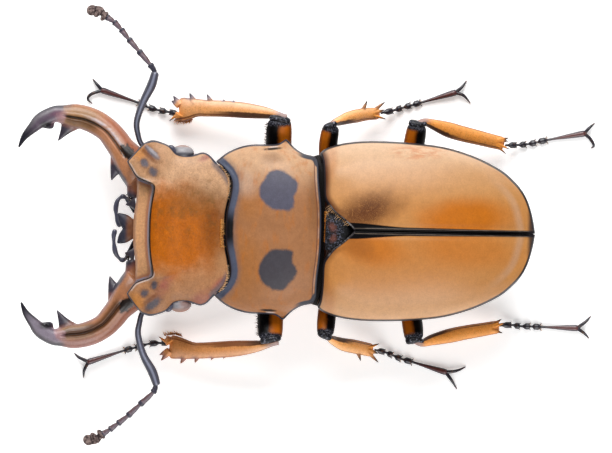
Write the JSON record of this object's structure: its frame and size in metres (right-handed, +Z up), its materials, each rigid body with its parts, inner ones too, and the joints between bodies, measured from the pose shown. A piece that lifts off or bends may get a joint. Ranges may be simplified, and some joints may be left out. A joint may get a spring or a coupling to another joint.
{
  "type": "homoderus gladiator stag beetle, still model",
  "caption": "Life-size still model of a male homoderus gladiator stag beetle standing on its feet, with wide curved toothed mandibles, antennae spread and legs set out like a specimen.",
  "frame": {"origin": "on the floor the feet stand on, below the middle of the model's length and width", "axes": "+Y from the jaws towards the tail, +X towards the beetle's left, +Z up"},
  "size_m": [0.0471, 0.0616, 0.0128],
  "materials": {
    "head_shell": "satin orange-brown shell, dished in the middle, paler at its corners",
    "jaw_shell": "glossy pinkish-brown shell with a dark groove and slate-black tips and teeth",
    "shield_shell": "satin tan shell with slate-black edges and two slate-black spots",
    "wing_case": "satin orange-tan shell with a thin dark rim and a black seam",
    "scutellum_shell": "black pitted shell",
    "eye_facets": "glossy grey-brown facets",
    "feeler_shell": "slate-grey shell with a soft grey-brown club",
    "mouth_parts": "dark slate shell, brown at the root of the lip",
    "coxa_shell": "dark brown shell",
    "femur_shell": "glossy orange-brown behind and black in front",
    "tibia_shell": "bright orange finely pitted shell with dark spines",
    "foot_shell": "black joints and purplish-black claws",
    "underside": "reddish dark brown shell"
  },
  "bodies": {
    "root": {"abdomen": "underside", "antenna_left": "feeler_shell", "antenna_right": "feeler_shell", "coxa_front_left": "coxa_shell", "coxa_front_right": "coxa_shell", "coxa_hind_left": "coxa_shell", "coxa_hind_right": "coxa_shell", "coxa_middle_left": "coxa_shell", "coxa_middle_right": "coxa_shell", "elytron_left": "wing_case", "elytron_right": "wing_case", "eye_left": "eye_facets", "eye_right": "eye_facets", "femur_front_left": "femur_shell", "femur_front_right": "femur_shell", "femur_hind_left": "femur_shell", "femur_hind_right": "femur_shell", "femur_middle_left": "femur_shell", "femur_middle_right": "femur_shell", "head": "head_shell", "labrum": "mouth_parts", "mandible_left": "jaw_shell", "mandible_right": "jaw_shell", "palp_left": "mouth_parts", "palp_right": "mouth_parts", "prothorax": "shield_shell", "pterothorax": "underside", "scape_left": "feeler_shell", "scape_right": "feeler_shell", "scutellum": "scutellum_shell", "tarsus_front_left": "foot_shell", "tarsus_front_right": "foot_shell", "tarsus_hind_left": "foot_shell", "tarsus_hind_right": "foot_shell", "tarsus_middle_left": "foot_shell", "tarsus_middle_right": "foot_shell", "tibia_front_left": "tibia_shell", "tibia_front_right": "tibia_shell", "tibia_hind_left": "tibia_shell", "tibia_hind_right": "tibia_shell", "tibia_middle_left": "tibia_shell", "tibia_middle_right": "tibia_shell"}
  },
  "joints": []
}
